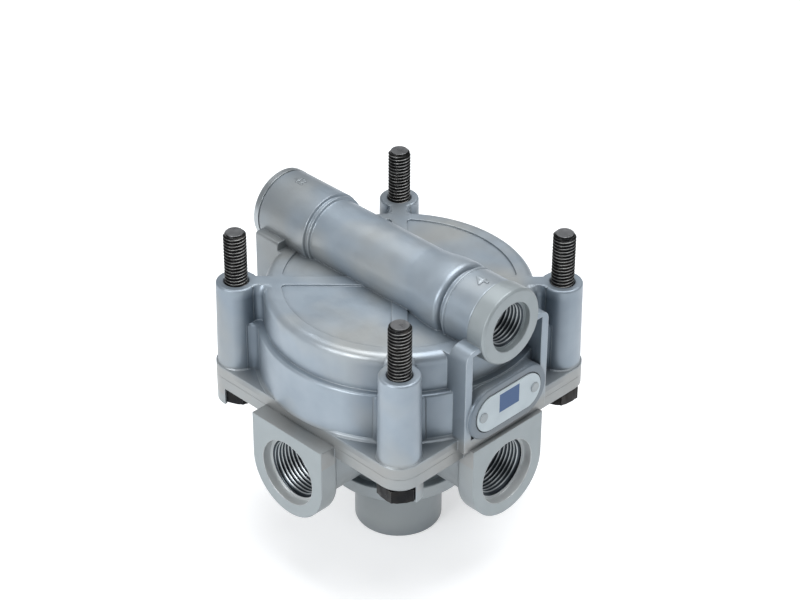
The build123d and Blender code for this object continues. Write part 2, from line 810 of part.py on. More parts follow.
nodes = {
    "upper_housing": upper_housing,
    "lower_housing": lower_housing,
    "mounting_bolts": mounting_bolts,
    "identification_plate": identification_plate,
    "plate_rivets": plate_rivets,
    "housing_o_ring": housing_o_ring,
    "rear_port_fitting": rear_port_fitting,
    "rear_fitting_o_ring": rear_fitting_o_ring,
    "shuttle_piston": shuttle_piston,
    "shuttle_seals": shuttle_seals,
    "relay_piston": relay_piston,
    "piston_o_ring": piston_o_ring,
    "inlet_valve_body": inlet_valve_body,
    "inlet_valve_rubber": inlet_valve_rubber,
    "spring_seat": spring_seat,
    "valve_spring": valve_spring,
    "valve_guide": valve_guide,
    "guide_outer_o_ring": guide_outer_o_ring,
    "guide_inner_o_ring": guide_inner_o_ring,
    "guide_circlip": guide_circlip,
}

for name, make in nodes.items():
    export_step(make(), f"parts/{name}.step")
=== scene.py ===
import json
import math

import bmesh
import bpy
from mathutils import Matrix, Vector


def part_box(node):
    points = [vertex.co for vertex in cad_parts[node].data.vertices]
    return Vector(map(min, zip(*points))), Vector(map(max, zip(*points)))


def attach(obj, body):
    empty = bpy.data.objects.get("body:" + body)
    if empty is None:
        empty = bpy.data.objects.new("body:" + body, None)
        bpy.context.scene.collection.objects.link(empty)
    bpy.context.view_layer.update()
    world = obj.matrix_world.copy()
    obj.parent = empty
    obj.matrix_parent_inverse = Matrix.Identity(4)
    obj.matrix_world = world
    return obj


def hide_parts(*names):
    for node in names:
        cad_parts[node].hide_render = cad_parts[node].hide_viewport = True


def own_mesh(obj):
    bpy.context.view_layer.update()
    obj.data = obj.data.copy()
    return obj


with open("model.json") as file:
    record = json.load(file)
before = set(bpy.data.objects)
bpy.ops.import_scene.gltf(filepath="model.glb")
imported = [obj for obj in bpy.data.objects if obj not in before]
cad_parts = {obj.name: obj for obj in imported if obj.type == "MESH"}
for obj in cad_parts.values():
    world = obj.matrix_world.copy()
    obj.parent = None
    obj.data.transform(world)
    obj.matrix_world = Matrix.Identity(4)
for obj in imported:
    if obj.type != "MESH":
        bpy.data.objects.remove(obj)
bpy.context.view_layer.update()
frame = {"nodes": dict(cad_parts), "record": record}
record = frame["record"]
mm = 0.001  # sizes below are millimetres, Blender works in metres


# Looking up sizes in the frame
def mount(name):
    return next(m for m in record["mounts"] if m["name"] == name)


def low(node, axis):
    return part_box(node)[0]["xyz".index(axis)]


def high(node, axis):
    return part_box(node)[1]["xyz".index(axis)]


def studReach():
    # distance of each stud from the valve's axis
    dims = mount("mounting_studs")["dims"]
    return math.hypot(dims["spacing_x_mm"], dims["spacing_y_mm"]) / 2


# Colour: sRGB hex to linear
def linear(code):
    channels = [int(code[i:i + 2], 16) / 255 for i in (1, 3, 5)]
    return [c / 12.92 if c <= 0.04045 else ((c + 0.055) / 1.055) ** 2.4 for c in channels] + [1.0]


def addNode(tree, kind, settings=None, links=None):
    # links holds, for each input socket, a value or the output socket that feeds it
    node = tree.nodes.new(kind)
    for key, value in (settings or {}).items():
        setattr(node, key, value)
    for key, value in (links or {}).items():
        if isinstance(value, bpy.types.NodeSocket):
            tree.links.new(value, node.inputs[key])
        else:
            node.inputs[key].default_value = value
    return node


def perMetre(size):
    return 1 / (size * mm)  # noise scale for a feature of this many millimetres


def startMaterial(name):
    material = bpy.data.materials.new(name)
    material.use_nodes = True
    tree = material.node_tree
    return material, tree, tree.nodes["Principled BSDF"]


def calc(tree, operation, *values):
    links = {index: value for index, value in enumerate(values)}
    return addNode(tree, "ShaderNodeMath", {"operation": operation}, links).outputs[0]


def mixColour(tree, factor, first, second, blend="MIX"):
    node = addNode(tree, "ShaderNodeMix", {"data_type": "RGBA", "blend_type": blend},
                   {"Factor": factor, 6: first, 7: second})
    return node.outputs[2]


def ramp(tree, value, start, end, outStart=0.0, outEnd=1.0):
    links = {"Value": value, "From Min": start, "From Max": end, "To Min": outStart, "To Max": outEnd}
    return addNode(tree, "ShaderNodeMapRange", {"clamp": True}, links).outputs["Result"]


def noise(tree, coords, size, detail=3.0, roughness=0.5):
    links = {"Vector": coords, "Scale": perMetre(size), "Detail": detail, "Roughness": roughness}
    return addNode(tree, "ShaderNodeTexNoise", {}, links).outputs["Fac"]


# Camera, at the photo's angle
cameraSetup = {
    "azimuth": 44.741,
    "elevation": 33.368,
    "roll": 0.296,
    "place": (467.26, -471.19, 527.5),
    "focalPixels": 2337.0,
    "photoWidth": 800.0,
    "sensor": 36.0,
}


def makeCamera(setup):
    azimuth, elevation, roll = (math.radians(setup[key]) for key in ("azimuth", "elevation", "roll"))
    back = Vector((math.sin(azimuth) * math.cos(elevation),
                   -math.cos(azimuth) * math.cos(elevation), math.sin(elevation)))
    level = Vector((math.cos(azimuth), math.sin(azimuth), 0))
    upright = back.cross(level)
    right = math.cos(roll) * level + math.sin(roll) * upright
    up = back.cross(right)
    lens = bpy.data.cameras.new("camera")
    lens.sensor_width = setup["sensor"]
    lens.lens = setup["focalPixels"] * setup["sensor"] / setup["photoWidth"]
    lens.clip_start = 0.01
    lens.clip_end = 50
    camera = bpy.data.objects.new("camera", lens)
    turn = Matrix((right, up, back)).transposed().to_4x4()
    camera.matrix_world = Matrix.Translation(Vector(setup["place"]) * mm) @ turn
    bpy.context.collection.objects.link(camera)
    bpy.context.scene.camera = camera
    print("camera ready, lens", round(lens.lens, 2))


# Soft studio light: a key panel in front, a weak one on the right, a large one above and a pale world
studio = {
    "aim": (0, 0, 60),
    "panels": {
        "panelLeft": {"place": (40, -960, 560), "size": 480, "watts": 6.8},
        "panelRight": {"place": (1100, 250, 500), "size": 500, "watts": 0.9},
        "panelTop": {"place": (20, 220, 1250), "size": 1200, "watts": 19.0},
    },
    "worldColour": "#e6e9ed",
    "worldStrength": 0.26,
    "floorSize": 8000,
    "floorColour": "#d2d4d6",
    "floorGlow": 0.52,
}


def makeStudio(setup):
    aim = Vector(setup["aim"]) * mm
    for name, panel in setup["panels"].items():
        lamp = bpy.data.lights.new(name, "AREA")
        lamp.shape = "SQUARE"
        lamp.size = panel["size"] * mm
        lamp.energy = panel["watts"]
        holder = bpy.data.objects.new(name, lamp)
        holder.location = Vector(panel["place"]) * mm
        holder.rotation_euler = (aim - holder.location).to_track_quat("-Z", "Y").to_euler()
        bpy.context.collection.objects.link(holder)
    world = bpy.data.worlds.new("studio")
    world.use_nodes = True
    background = world.node_tree.nodes["Background"]
    background.inputs["Color"].default_value = linear(setup["worldColour"])
    background.inputs["Strength"].default_value = setup["worldStrength"]
    bpy.context.scene.world = world
    bpy.context.scene.view_settings.view_transform = "Standard"
    print("studio ready")


def floorMaterial(setup):
    # matt white paper: a glow lifts it to white where lenses and reflections see it, the shadow stays
    material, tree, shader = startMaterial("white_paper")
    shader.inputs["Base Color"].default_value = linear(setup["floorColour"])
    shader.inputs["Roughness"].default_value = 0.9
    shader.inputs["Specular IOR Level"].default_value = 0.1
    rays = addNode(tree, "ShaderNodeLightPath").outputs
    seen = calc(tree, "MAXIMUM", rays["Is Camera Ray"],
                calc(tree, "MAXIMUM", rays["Is Glossy Ray"], rays["Is Transmission Ray"]))
    glow = addNode(tree, "ShaderNodeEmission", {}, {"Strength": calc(tree, "MULTIPLY", seen, setup["floorGlow"])})
    both = addNode(tree, "ShaderNodeAddShader", {}, {0: shader.outputs[0], 1: glow.outputs[0]})
    tree.links.new(both.outputs[0], tree.nodes["Material Output"].inputs["Surface"])
    return material


def makeFloor(setup):
    half = setup["floorSize"] * mm / 2
    level = -0.05 * mm
    mesh = bpy.data.meshes.new("floor")
    mesh.from_pydata([(-half, -half, level), (half, -half, level), (half, half, level), (-half, half, level)],
                     [], [(0, 1, 2, 3)])
    floor = bpy.data.objects.new("floor", mesh)
    mesh.materials.append(floorMaterial(setup))
    bpy.context.collection.objects.link(floor)
    print("floor ready")


# Shared parts of the metal finishes
def roundedNormal(tree, radius):
    # edges that catch the light as if they were rounded by this radius
    return addNode(tree, "ShaderNodeBevel", {"samples": 6}, {"Radius": radius * mm}).outputs["Normal"]


def edgeMask(tree, rounded):
    # near 1 on edges, where the rounded normal leaves the face's own
    flat = addNode(tree, "ShaderNodeNewGeometry").outputs["Normal"]
    dot = addNode(tree, "ShaderNodeVectorMath", {"operation": "DOT_PRODUCT"}, {0: rounded, 1: flat})
    return ramp(tree, dot.outputs["Value"], 0.985, 0.86)


def splitCoords(tree, coords):
    return addNode(tree, "ShaderNodeSeparateXYZ", {}, {"Vector": coords}).outputs


def distanceFromLine(tree, coords, axis, centre):
    # distance in metres from a line along axis through centre
    parts = splitCoords(tree, coords)
    across = [index for index in range(3) if index != "xyz".index(axis)]
    squares = []
    for index in across:
        offset = calc(tree, "SUBTRACT", parts[index], centre[index] * mm)
        squares.append(calc(tree, "MULTIPLY", offset, offset))
    return calc(tree, "SQRT", calc(tree, "ADD", *squares))


# Die-cast aluminium, blasted: a satin blue grey, its surface a fine grain with a slow cloudiness
castFinish = {
    "colour": "#9ca7b1",
    "cloudColour": "#919da8",
    "warmColour": "#a6a8a6",
    "lowerColour": "#999fa1",
    "flangeColour": "#9c9c9a",
    "flangeDepth": 7.0,
    "lowerFade": (6.0, 3.0),  # above the seam
    # colour of the painted shade in hollows, beside the bosses, towards the rear and round the plate
    "paintedShadeColour": "#3f4c58",
    # lighter edges: partly wear, partly painted highlight
    "edgeWearAndHighlightColour": "#bcc5cb",
    "machinedColour": "#9aa2a5",
    # bore walls lightened as painted light
    "boreLitColour": "#cdd1d2",
    # painted shade: reach and depth of the darkening in hollows, and its strength beside the bosses and towards the
    # rear
    "hollowReach": 9.0,
    "hollowDepth": 0.4,
    "bossShade": 0.7,
    "rearShade": 0.3,
    "rearFade": (-25.0, -50.0),  # along x
    # painted shade round the plate: a wide darker ring and a dark line in its gap
    "rimShade": 0.55,
    "rimWidth": 4.0,
    "gapShadeColour": "#23282c",
    "gapWidth": 0.45,
    "metallic": 0.48,
    "roughness": 0.39,
    "edgeRadius": 0.55,
    "seamReach": 0.7,
    "cloudSize": 16.0,
    "flowSize": 5.0,
    "grain": 0.45,
    "grainHeight": 0.012,
}


def machinedMask(tree, coords):
    # 1 on the milled faces of the four side ports
    parts = splitCoords(tree, coords)
    sideX = calc(tree, "ABSOLUTE", parts[0])
    sideY = calc(tree, "ABSOLUTE", parts[1])
    hair = 0.1 * mm
    supplyFace = high("lower_housing", "x") - hair
    deliveryFace = high("lower_housing", "y") - hair
    faces = calc(tree, "MAXIMUM", calc(tree, "GREATER_THAN", sideX, supplyFace),
                 calc(tree, "GREATER_THAN", sideY, deliveryFace))
    belowFlange = calc(tree, "LESS_THAN", parts[2], low("upper_housing", "z"))
    return calc(tree, "MULTIPLY", faces, belowFlange)


def mouthMask(tree, coords):
    # 1 inside the bored mouths of the side ports
    portZ = mount("supply_port_front")["pos_m"][2] / mm
    mouthReach = 12.2 * mm
    inner = 33.0 * mm
    parts = splitCoords(tree, coords)
    found = None
    for axis in "xy":
        near = calc(tree, "LESS_THAN", distanceFromLine(tree, coords, axis, (0, 0, portZ)), mouthReach)
        far = calc(tree, "GREATER_THAN", calc(tree, "ABSOLUTE", parts["xyz".index(axis)]), inner)
        one = calc(tree, "MULTIPLY", near, far)
        found = one if found is None else calc(tree, "MAXIMUM", found, one)
    return found


def headMask(tree, coords):
    # 1 on the turned head at the front of the cross tube and in its bore
    port = mount("front_control_port")
    tubeZ = port["pos_m"][2] / mm
    parts = splitCoords(tree, coords)
    headReach, headStart = 13.75 * mm, 44.0 * mm
    near = calc(tree, "LESS_THAN", distanceFromLine(tree, coords, "x", (0, 0, tubeZ)), headReach)
    front = calc(tree, "GREATER_THAN", parts[0], headStart)
    return calc(tree, "MULTIPLY", near, front)


def bossShadeMask(tree, coords):
    # near 1 between the drum and the four bosses, above the flange, where shade is painted
    reach = studReach()
    fromStud, height = distanceFromStuds(tree, coords)
    fromAxis = distanceFromLine(tree, coords, "z", (0, 0, 0))
    near = ramp(tree, fromStud, 22 * mm, 9 * mm)
    inside = ramp(tree, fromAxis, (reach + 3) * mm, (reach - 4) * mm)
    crown = castFillets["crown"] * mm
    upright = calc(tree, "MULTIPLY", ramp(tree, height, crown - 0.5 * mm, crown - 4 * mm),
                   calc(tree, "GREATER_THAN", height, high("lower_housing", "z") + 2 * mm))
    return calc(tree, "MULTIPLY", calc(tree, "MULTIPLY", near, inside), upright)


def plateMask(tree, coords, width):
    # 1 on the ring of this width round the identification plate
    lowCorner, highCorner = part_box("identification_plate")
    endRadius = (highCorner.z - lowCorner.z) / 2
    straight = (highCorner.y - lowCorner.y) / 2 - endRadius
    parts = splitCoords(tree, coords)
    along = calc(tree, "MAXIMUM", calc(tree, "SUBTRACT", calc(tree, "ABSOLUTE", parts[1]), straight), 0.0)
    across = calc(tree, "SUBTRACT", parts[2], (highCorner.z + lowCorner.z) / 2)
    square = calc(tree, "ADD", calc(tree, "MULTIPLY", along, along), calc(tree, "MULTIPLY", across, across))
    near = calc(tree, "LESS_THAN", calc(tree, "SQRT", square), endRadius + width * mm)
    return calc(tree, "MULTIPLY", near, calc(tree, "GREATER_THAN", parts[0], lowCorner.x - 0.2 * mm))


def castBaseColour(tree, coords, finish, height, flangeTop):
    # slow cloudiness, greyer below the flange's top and a warmer grey on the handled flanges
    cloud = ramp(tree, noise(tree, coords, finish["cloudSize"]), 0.35, 0.65)
    warm = ramp(tree, noise(tree, coords, finish["cloudSize"] * 1.9, 2.0), 0.48, 0.68, 0.0, 0.8)
    colour = mixColour(tree, cloud, linear(finish["colour"]), linear(finish["cloudColour"]))
    colour = mixColour(tree, warm, colour, linear(finish["warmColour"]))
    fadeStart, fadeEnd = (rise * mm for rise in finish["lowerFade"])
    lower = ramp(tree, height, flangeTop + fadeStart, flangeTop + fadeEnd, 0.0, 0.85)
    colour = mixColour(tree, lower, colour, linear(finish["lowerColour"]))
    flange = calc(tree, "MULTIPLY", calc(tree, "GREATER_THAN", height, flangeTop - finish["flangeDepth"] * mm), lower)
    flange = calc(tree, "MULTIPLY", flange, ramp(tree, noise(tree, coords, finish["cloudSize"]), 0.3, 0.6, 0.4, 0.9))
    return mixColour(tree, flange, colour, linear(finish["flangeColour"])), lower


def castPaintedShade(tree, coords, finish, cut, lower, sideways):
    # painted shade: darker in hollows, between drum and bosses, and towards the rear of the drum
    hollow = addNode(tree, "ShaderNodeAmbientOcclusion", {"samples": 8}, {"Distance": finish["hollowReach"] * mm})
    hollow = ramp(tree, hollow.outputs["AO"], 0.92, 0.3, 0.0, finish["hollowDepth"])
    hollow = calc(tree, "MULTIPLY", hollow, calc(tree, "SUBTRACT", 1.0, calc(tree, "MULTIPLY", cut, 0.8)))
    paintedShadeMask = calc(tree, "MULTIPLY", bossShadeMask(tree, coords), finish["bossShade"])
    rearStart, rearEnd = (place * mm for place in finish["rearFade"])
    rear = ramp(tree, sideways, rearStart, rearEnd, 0.0, finish["rearShade"])
    paintedShadeMask = calc(tree, "MAXIMUM", paintedShadeMask, calc(tree, "MULTIPLY", rear, calc(tree, "SUBTRACT", 1.0, lower)))
    return calc(tree, "MAXIMUM", hollow, paintedShadeMask)


def dieCastAluminium(name, finish):
    material, tree, shader = startMaterial(name)
    coords = addNode(tree, "ShaderNodeTexCoord").outputs["Object"]
    parts = splitCoords(tree, coords)
    sideways, height = parts[0], parts[2]
    flangeTop = high("lower_housing", "z")
    colour, lower = castBaseColour(tree, coords, finish, height, flangeTop)
    # the seam between the two flanges is flush, so near it the edges get no lighter colour of wear and painted
    # highlight
    rounded = roundedNormal(tree, finish["edgeRadius"])
    seam = calc(tree, "ABSOLUTE", calc(tree, "SUBTRACT", height, flangeTop))
    edges = calc(tree, "MULTIPLY", edgeMask(tree, rounded), calc(tree, "GREATER_THAN", seam, finish["seamReach"] * mm))
    # edges lighter: partly wear, partly painted highlight
    wornAndLitEdges = calc(tree, "MULTIPLY", edges, ramp(tree, noise(tree, coords, finish["flowSize"]), 0.3, 0.6, 0.35, 0.9))
    colour = mixColour(tree, wornAndLitEdges, colour, linear(finish["edgeWearAndHighlightColour"]))
    # machined faces and bores are plain; the faces a little lighter, the bores lighter still as painted light
    bored = mouthMask(tree, coords)
    turned = calc(tree, "MAXIMUM", machinedMask(tree, coords), headMask(tree, coords))
    colour = mixColour(tree, turned, colour, linear(finish["machinedColour"]))
    colour = mixColour(tree, bored, colour, linear(finish["boreLitColour"]))
    cut = calc(tree, "MAXIMUM", turned, bored)
    # round the identification plate the casting is darker and its narrow gap darker still, both painted shade
    rim = calc(tree, "MULTIPLY", plateMask(tree, coords, finish["rimWidth"]), finish["rimShade"])
    colour = mixColour(tree, rim, colour, linear(finish["paintedShadeColour"]))
    colour = mixColour(tree, plateMask(tree, coords, finish["gapWidth"]), colour, linear(finish["gapShadeColour"]))
    # painted shade in hollows, beside the bosses and towards the rear
    paintedShadeMask = castPaintedShade(tree, coords, finish, cut, lower, sideways)
    tree.links.new(mixColour(tree, paintedShadeMask, colour, linear(finish["paintedShadeColour"])), shader.inputs["Base Color"])
    shader.inputs["Metallic"].default_value = finish["metallic"]
    rough = ramp(tree, noise(tree, coords, finish["flowSize"]), 0.3, 0.7,
                 finish["roughness"] - 0.05, finish["roughness"] + 0.06)
    tree.links.new(calc(tree, "ADD", rough, calc(tree, "MULTIPLY", cut, 0.04)), shader.inputs["Roughness"])
    # grain is about 0.1 mm on the casting, drawn coarser so that it shows
    grain = noise(tree, coords, finish["grain"], 2.0, 0.6)
    flow = noise(tree, coords, finish["flowSize"], 2.0)
    relief = calc(tree, "ADD", grain, calc(tree, "MULTIPLY", flow, 1.5))
    relief = calc(tree, "MULTIPLY", relief, calc(tree, "SUBTRACT", 1.0, cut))
    bump = addNode(tree, "ShaderNodeBump", {}, {
        "Strength": 1.0, "Distance": finish["grainHeight"] * mm, "Height": relief, "Normal": rounded})
    tree.links.new(bump.outputs["Normal"], shader.inputs["Normal"])
    return material


# Turned aluminium of the rear fitting: brighter than the casting, with fine rings about the tube's axis
turnedFinish = {"colour": "#aeb4b7", "shadeColour": "#9aa1a6", "metallic": 0.85, "roughness": 0.36, "ring": 0.4,
                "ringHeight": 0.008}


def turnedAluminium(name, finish, axis="x", centre=(0, 0, 0)):
    material, tree, shader = startMaterial(name)
    coords = addNode(tree, "ShaderNodeTexCoord").outputs["Object"]
    radius = distanceFromLine(tree, coords, axis, centre)
    rings = calc(tree, "SINE", calc(tree, "MULTIPLY", radius, 2 * math.pi * perMetre(finish["ring"])))
    shade = ramp(tree, noise(tree, coords, 6.0), 0.3, 0.7, 0.0, 0.5)
    colour = mixColour(tree, shade, linear(finish["colour"]), linear(finish["shadeColour"]))
    tree.links.new(colour, shader.inputs["Base Color"])
    shader.inputs["Metallic"].default_value = finish["metallic"]
    shader.inputs["Roughness"].default_value = finish["roughness"]
    bump = addNode(tree, "ShaderNodeBump", {}, {
        "Strength": 0.6, "Distance": finish["ringHeight"] * mm, "Height": rings,
        "Normal": roundedNormal(tree, 0.3)})
    tree.links.new(bump.outputs["Normal"], shader.inputs["Normal"])
    return material


# Black oxide steel: near black, with edges and thread crests lighter, partly rubbed and partly painted highlight, and
# a lighter grey tip face
blackFinish = {"colour": "#17181a", "wearAndGlintColour": "#c2c3c2", "brownColour": "#242220",
               "tipColour": "#7d7e80", "metallic": 0.8, "roughness": 0.34, "crest": (3.75, 3.97),
               "crestLimit": 4.1}


def distanceFromStuds(tree, coords):
    # distance in metres from the nearest of the four stud axes
    half = mount("mounting_studs")["dims"]["spacing_x_mm"] / 2
    parts = splitCoords(tree, coords)
    folded = addNode(tree, "ShaderNodeCombineXYZ", {}, {
        "X": calc(tree, "ABSOLUTE", parts[0]), "Y": calc(tree, "ABSOLUTE", parts[1]), "Z": parts[2]})
    return distanceFromLine(tree, folded.outputs[0], "z", (half, half, 0)), parts[2]


def blackOxideSteel(name, finish):
    material, tree, shader = startMaterial(name)
    coords = addNode(tree, "ShaderNodeTexCoord").outputs["Object"]
    rounded = roundedNormal(tree, 0.12)
    edges = edgeMask(tree, rounded)
    patches = ramp(tree, noise(tree, coords, 2.5, 4.0, 0.6), 0.35, 0.65)
    colour = mixColour(tree, ramp(tree, noise(tree, coords, 7.0), 0.4, 0.7), linear(finish["colour"]),
                       linear(finish["brownColour"]))
    radius, height = distanceFromStuds(tree, coords)
    # crests and edges lighter: partly rubbed wear, partly painted highlight
    crests = ramp(tree, radius, finish["crest"][0] * mm, finish["crest"][1] * mm)
    crests = calc(tree, "MULTIPLY", crests, calc(tree, "LESS_THAN", radius, finish["crestLimit"] * mm))
    wearAndGlint = calc(tree, "MAXIMUM", calc(tree, "MULTIPLY", edges, 0.5), crests)
    wearAndGlint = calc(tree, "MULTIPLY", wearAndGlint, ramp(tree, patches, 0, 1, 0.3, 1.0))
    colour = mixColour(tree, wearAndGlint, colour, linear(finish["wearAndGlintColour"]))
    tip = calc(tree, "GREATER_THAN", height, high("mounting_bolts", "z") - 0.15 * mm)
    colour = mixColour(tree, tip, colour, linear(finish["tipColour"]))
    tree.links.new(colour, shader.inputs["Base Color"])
    shader.inputs["Metallic"].default_value = finish["metallic"]
    tree.links.new(ramp(tree, patches, 0, 1, finish["roughness"] - 0.08, finish["roughness"] + 0.1),
                   shader.inputs["Roughness"])
    bump = addNode(tree, "ShaderNodeBump", {}, {
        "Strength": 0.5, "Distance": 0.01 * mm, "Height": noise(tree, coords, 0.5, 2.0), "Normal": rounded})
    tree.links.new(bump.outputs["Normal"], shader.inputs["Normal"])
    return material


# Cut thread in aluminium: crests lighter as painted highlight, valleys darker as painted shade
threadFinish = {"crestHighlightColour": "#bcc2c5", "valleyShadeColour": "#363d43", "metallic": 0.75, "roughness": 0.36,
                "crestShare": 0.1, "valleyShare": 0.5}


def cutThread(name, finish, axes, crest, root):
    # axes lists the lines (axis, centre) that the threads run about
    material, tree, shader = startMaterial(name)
    coords = addNode(tree, "ShaderNodeTexCoord").outputs["Object"]
    radius = None
    for axis, centre in axes:
        one = distanceFromLine(tree, coords, axis, centre)
        radius = one if radius is None else calc(tree, "MINIMUM", radius, one)
    first = crest + finish["crestShare"] * (root - crest)
    last = crest + finish["valleyShare"] * (root - crest)
    # painted highlight on the crests, painted shade in the valleys
    depth = ramp(tree, radius, first * mm, last * mm)
    colour = mixColour(tree, depth, linear(finish["crestHighlightColour"]), linear(finish["valleyShadeColour"]))
    tree.links.new(colour, shader.inputs["Base Color"])
    shader.inputs["Metallic"].default_value = finish["metallic"]
    shader.inputs["Roughness"].default_value = finish["roughness"]
    return material


# Nitrile rubber, moulded: matt black with a faint bloom
rubberFinish = {"colour": "#1d1d1e", "bloomColour": "#2b2b2b", "roughness": 0.62}


def nitrileRubber(name, finish):
    material, tree, shader = startMaterial(name)
    coords = addNode(tree, "ShaderNodeTexCoord").outputs["Object"]
    bloom = ramp(tree, noise(tree, coords, 3.0), 0.4, 0.7)
    tree.links.new(mixColour(tree, bloom, linear(finish["colour"]), linear(finish["bloomColour"])),
                   shader.inputs["Base Color"])
    shader.inputs["Roughness"].default_value = finish["roughness"]
    bump = addNode(tree, "ShaderNodeBump", {}, {
        "Strength": 0.4, "Distance": 0.01 * mm, "Height": noise(tree, coords, 0.3)})
    tree.links.new(bump.outputs["Normal"], shader.inputs["Normal"])
    return material


# Acetal, moulded black: smooth, with the faint sheen of a nylon-like plastic
acetalFinish = {"colour": "#232426", "shadeColour": "#2c2d30", "roughness": 0.35}


def mouldedAcetal(name, finish):
    material, tree, shader = startMaterial(name)
    coords = addNode(tree, "ShaderNodeTexCoord").outputs["Object"]
    shade = ramp(tree, noise(tree, coords, 8.0), 0.3, 0.7)
    tree.links.new(mixColour(tree, shade, linear(finish["colour"]), linear(finish["shadeColour"])),
                   shader.inputs["Base Color"])
    shader.inputs["Roughness"].default_value = finish["roughness"]
    bump = addNode(tree, "ShaderNodeBump", {}, {
        "Strength": 0.3, "Distance": 0.01 * mm, "Height": noise(tree, coords, 0.8),
        "Normal": roundedNormal(tree, 0.2)})
    tree.links.new(bump.outputs["Normal"], shader.inputs["Normal"])
    return material


# Turned brass, steel and aluminium inside: clean metal with fine rings about the valve axis
def turnedMetal(name, colour, shadeColour, metallic, roughness):
    material, tree, shader = startMaterial(name)
    coords = addNode(tree, "ShaderNodeTexCoord").outputs["Object"]
    parts = splitCoords(tree, coords)
    radius = distanceFromLine(tree, coords, "z", (0, 0, 0))
    along = calc(tree, "ADD", radius, parts[2])
    rings = calc(tree, "SINE", calc(tree, "MULTIPLY", along, 2 * math.pi * perMetre(0.45)))
    shade = ramp(tree, noise(tree, coords, 5.0), 0.3, 0.7)
    tree.links.new(mixColour(tree, shade, linear(colour), linear(shadeColour)), shader.inputs["Base Color"])
    shader.inputs["Metallic"].default_value = metallic
    shader.inputs["Roughness"].default_value = roughness
    bump = addNode(tree, "ShaderNodeBump", {}, {
        "Strength": 0.5, "Distance": 0.006 * mm, "Height": rings, "Normal": roundedNormal(tree, 0.2)})
    tree.links.new(bump.outputs["Normal"], shader.inputs["Normal"])
    return material


# Identification plate: satin anodised aluminium, bare but for one plain printed field
plateFinish = {
    "colour": "#c3ced3", "shadeColour": "#b6c1c7", "fieldColour": "#3d5a85",
    "fieldWidth": 9.6, "fieldHeight": 7.2, "fieldRise": 1.8, "metallic": 0.3, "roughness": 0.45,
}


def printedPlate(name, finish):
    material, tree, shader = startMaterial(name)
    coords = addNode(tree, "ShaderNodeTexCoord").outputs["Object"]
    parts = splitCoords(tree, coords)
    middle = (low("identification_plate", "z") + high("identification_plate", "z")) / 2
    middle += finish["fieldRise"] * mm

    front = calc(tree, "GREATER_THAN", parts[0], high("identification_plate", "x") - 0.05 * mm)
    shade = ramp(tree, noise(tree, coords, 9.0), 0.3, 0.7)
    colour = mixColour(tree, shade, linear(finish["colour"]), linear(finish["shadeColour"]))
    aside = calc(tree, "LESS_THAN", calc(tree, "ABSOLUTE", parts[1]), finish["fieldWidth"] * mm / 2)
    offset = calc(tree, "ABSOLUTE", calc(tree, "SUBTRACT", parts[2], middle))
    field = calc(tree, "MULTIPLY", aside, calc(tree, "LESS_THAN", offset, finish["fieldHeight"] * mm / 2))
    colour = mixColour(tree, calc(tree, "MULTIPLY", front, field), colour, linear(finish["fieldColour"]))
    tree.links.new(colour, shader.inputs["Base Color"])
    shader.inputs["Metallic"].default_value = finish["metallic"]
    shader.inputs["Roughness"].default_value = finish["roughness"]
    bump = addNode(tree, "ShaderNodeBump", {}, {
        "Strength": 0.3, "Distance": 0.006 * mm, "Height": noise(tree, coords, 0.25),
        "Normal": roundedNormal(tree, 0.15)})
    tree.links.new(bump.outputs["Normal"], shader.inputs["Normal"])
    return material


def dressCadNodes():
    tubeAxis = (0, 0, mount("front_control_port")["pos_m"][2] / mm)
    finishes = {
        "cast_aluminium": dieCastAluminium("die_cast_aluminium", castFinish),
        "turned_aluminium": turnedAluminium("turned_aluminium", turnedFinish, "x", tubeAxis),
        "piston_aluminium": turnedMetal("machined_aluminium", "#b9bcbe", "#a4a9ac", 0.9, 0.35),
        "black_steel": blackOxideSteel("black_oxide_steel", blackFinish),
        "plate_aluminium": printedPlate("printed_anodised_aluminium", plateFinish),
        "rivet_aluminium": turnedMetal("satin_rivet_aluminium", "#a7adb0", "#989fa3", 0.6, 0.5),
        "seal_rubber": nitrileRubber("nitrile_rubber", rubberFinish),
        "guide_plastic": mouldedAcetal("moulded_acetal", acetalFinish),
        "valve_brass": turnedMetal("turned_brass", "#c9a766", "#b39155", 1.0, 0.3),
        "spring_steel": turnedMetal("oiled_spring_steel", "#6f7174", "#5b5d60", 0.95, 0.35),
    }
    slots = {row["node"]: row["material_slot"] for row in record["subparts"]}
    for node, piece in frame["nodes"].items():
        piece.data.materials.clear()
        piece.data.materials.append(finishes[slots[node]])
    print("materials on", len(slots), "nodes")
    return finishes


# Mesh helpers
def meshObject(name, vertices, faces):
    mesh = bpy.data.meshes.new(name)
    mesh.from_pydata(vertices, [], faces)
    tidy = bmesh.new()
    tidy.from_mesh(mesh)
    bmesh.ops.remove_doubles(tidy, verts=tidy.verts, dist=0.001 * mm)
    bmesh.ops.dissolve_degenerate(tidy, dist=0.001 * mm, edges=tidy.edges)
    bmesh.ops.recalc_face_normals(tidy, faces=tidy.faces)
    tidy.to_mesh(mesh)
    tidy.free()
    piece = bpy.data.objects.new(name, mesh)
    bpy.context.collection.objects.link(piece)
    return piece


def unitCircle(count):
    return [(math.cos(2 * math.pi * i / count), math.sin(2 * math.pi * i / count)) for i in range(count)]


def smoothByAngle(piece, degrees):
    for face in piece.data.polygons:
        face.use_smooth = True
    piece.data.set_sharp_from_angle(angle=math.radians(degrees))


# One turn of a metric thread as (share of the pitch, share of the depth) pairs
threadProfile = [(0.0, 0.86), (0.06, 1.0), (0.12, 0.86), (0.42, 0.08), (0.53, 0.0), (0.64, 0.08)]


